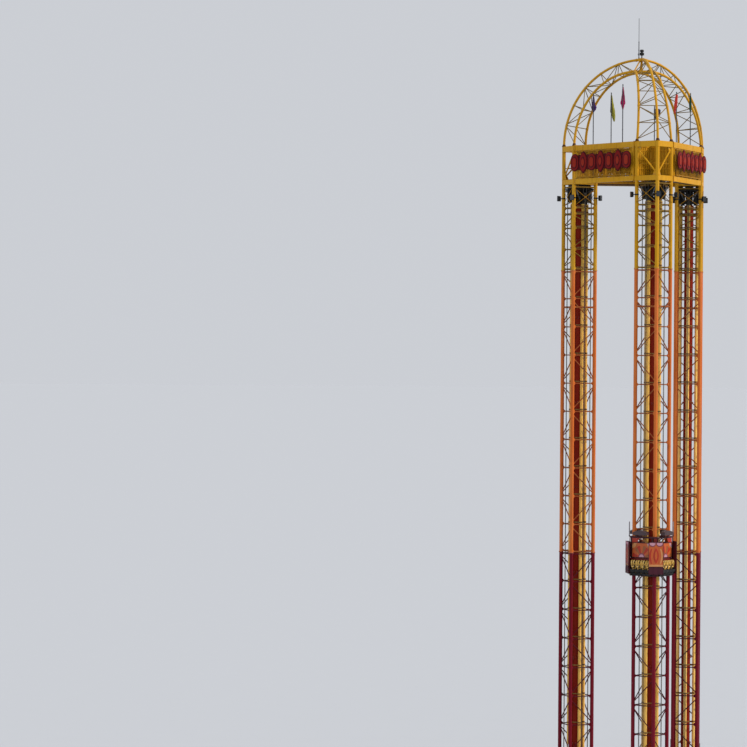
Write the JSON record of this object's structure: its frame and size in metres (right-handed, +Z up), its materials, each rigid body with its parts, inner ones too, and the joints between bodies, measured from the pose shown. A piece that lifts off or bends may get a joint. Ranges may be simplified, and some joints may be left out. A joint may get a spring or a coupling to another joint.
{
  "type": "triple drop tower ride, scale model at 1:2",
  "caption": "Drop tower ride at half size: square lattice masts on a triangle, joined by a sign ring and an open domed crown, each with a sliding seat carriage.",
  "frame": {"origin": "on the ground, under the middle of the ride's box", "axes": "+Z up; -Y towards the front mast; +X to the right seen from the front"},
  "size_m": [7.585, 6.858, 37.09],
  "materials": {
    "mast_crimson": "weathered semi-gloss crimson paint",
    "mast_orange": "weathered semi-gloss orange paint",
    "mast_yellow": "weathered semi-gloss golden yellow paint",
    "pipe_dark_red": "satin dark red paint",
    "tube_yellow": "satin pale yellow paint",
    "rope_steel": "greased wire rope",
    "black_metal": "satin black paint",
    "grey_metal": "satin grey paint",
    "grating_brown": "matt brown paint",
    "ornament_red": "gloss dark red moulding",
    "flag_cloth": "thin woven flag cloth in several plain colours",
    "carriage_steel": "satin dark purple-red paint",
    "carriage_panel": "moulded panels in orange, red and lilac",
    "seat_black": "moulded black shell",
    "seat_yellow": "moulded yellow shell",
    "harness_yellow": "padded yellow harness"
  },
  "bodies": {
    "tower": {"front_mast_lower": "mast_crimson", "front_mast_middle": "mast_orange", "front_mast_upper": "mast_yellow", "left_mast_lower": "mast_crimson", "left_mast_middle": "mast_orange", "left_mast_upper": "mast_yellow", "right_mast_lower": "mast_crimson", "right_mast_middle": "mast_orange", "right_mast_upper": "mast_yellow", "base_feet": "mast_crimson", "core_pipes": "pipe_dark_red", "air_tubes": "tube_yellow", "hoist_ropes": "rope_steel", "head_sheaves": "black_metal", "base_sheaves": "black_metal", "floodlights": "black_metal", "ring_corner_front": "mast_yellow", "ring_corner_left": "mast_yellow", "ring_corner_right": "mast_yellow", "ring_truss_left": "mast_yellow", "ring_truss_right": "mast_yellow", "ring_truss_back": "mast_yellow", "ring_walkways": "grating_brown", "sign_ornaments": "ornament_red", "crown_rib_front": "mast_yellow", "crown_rib_left": "mast_yellow", "crown_rib_right": "mast_yellow", "crown_hub": "mast_yellow", "beacon": "black_metal", "lightning_rod": "grey_metal", "flagpoles": "grey_metal", "flags": "flag_cloth"},
    "front_carriage": {"front_carriage_frame": "carriage_steel", "front_carriage_panels": "carriage_panel", "front_seat_pans": "seat_black", "front_seat_backs": "seat_yellow", "front_harnesses": "harness_yellow"},
    "left_carriage": {"left_carriage_frame": "carriage_steel", "left_carriage_panels": "carriage_panel", "left_seat_pans": "seat_black", "left_seat_backs": "seat_yellow", "left_harnesses": "harness_yellow"},
    "right_carriage": {"right_carriage_frame": "carriage_steel", "right_carriage_panels": "carriage_panel", "right_seat_pans": "seat_black", "right_seat_backs": "seat_yellow", "right_harnesses": "harness_yellow"}
  },
  "joints": [
    {"name": "front_carriage_lift", "type": "slide", "parent": "tower", "child": "front_carriage", "axis": [0, 0, 1], "range_m": [-10.65, 14.89]},
    {"name": "left_carriage_lift", "type": "slide", "parent": "tower", "child": "left_carriage", "axis": [0, 0, 1], "range_m": [0, 25.54]},
    {"name": "right_carriage_lift", "type": "slide", "parent": "tower", "child": "right_carriage", "axis": [0, 0, 1], "range_m": [0, 25.54]}
  ]
}
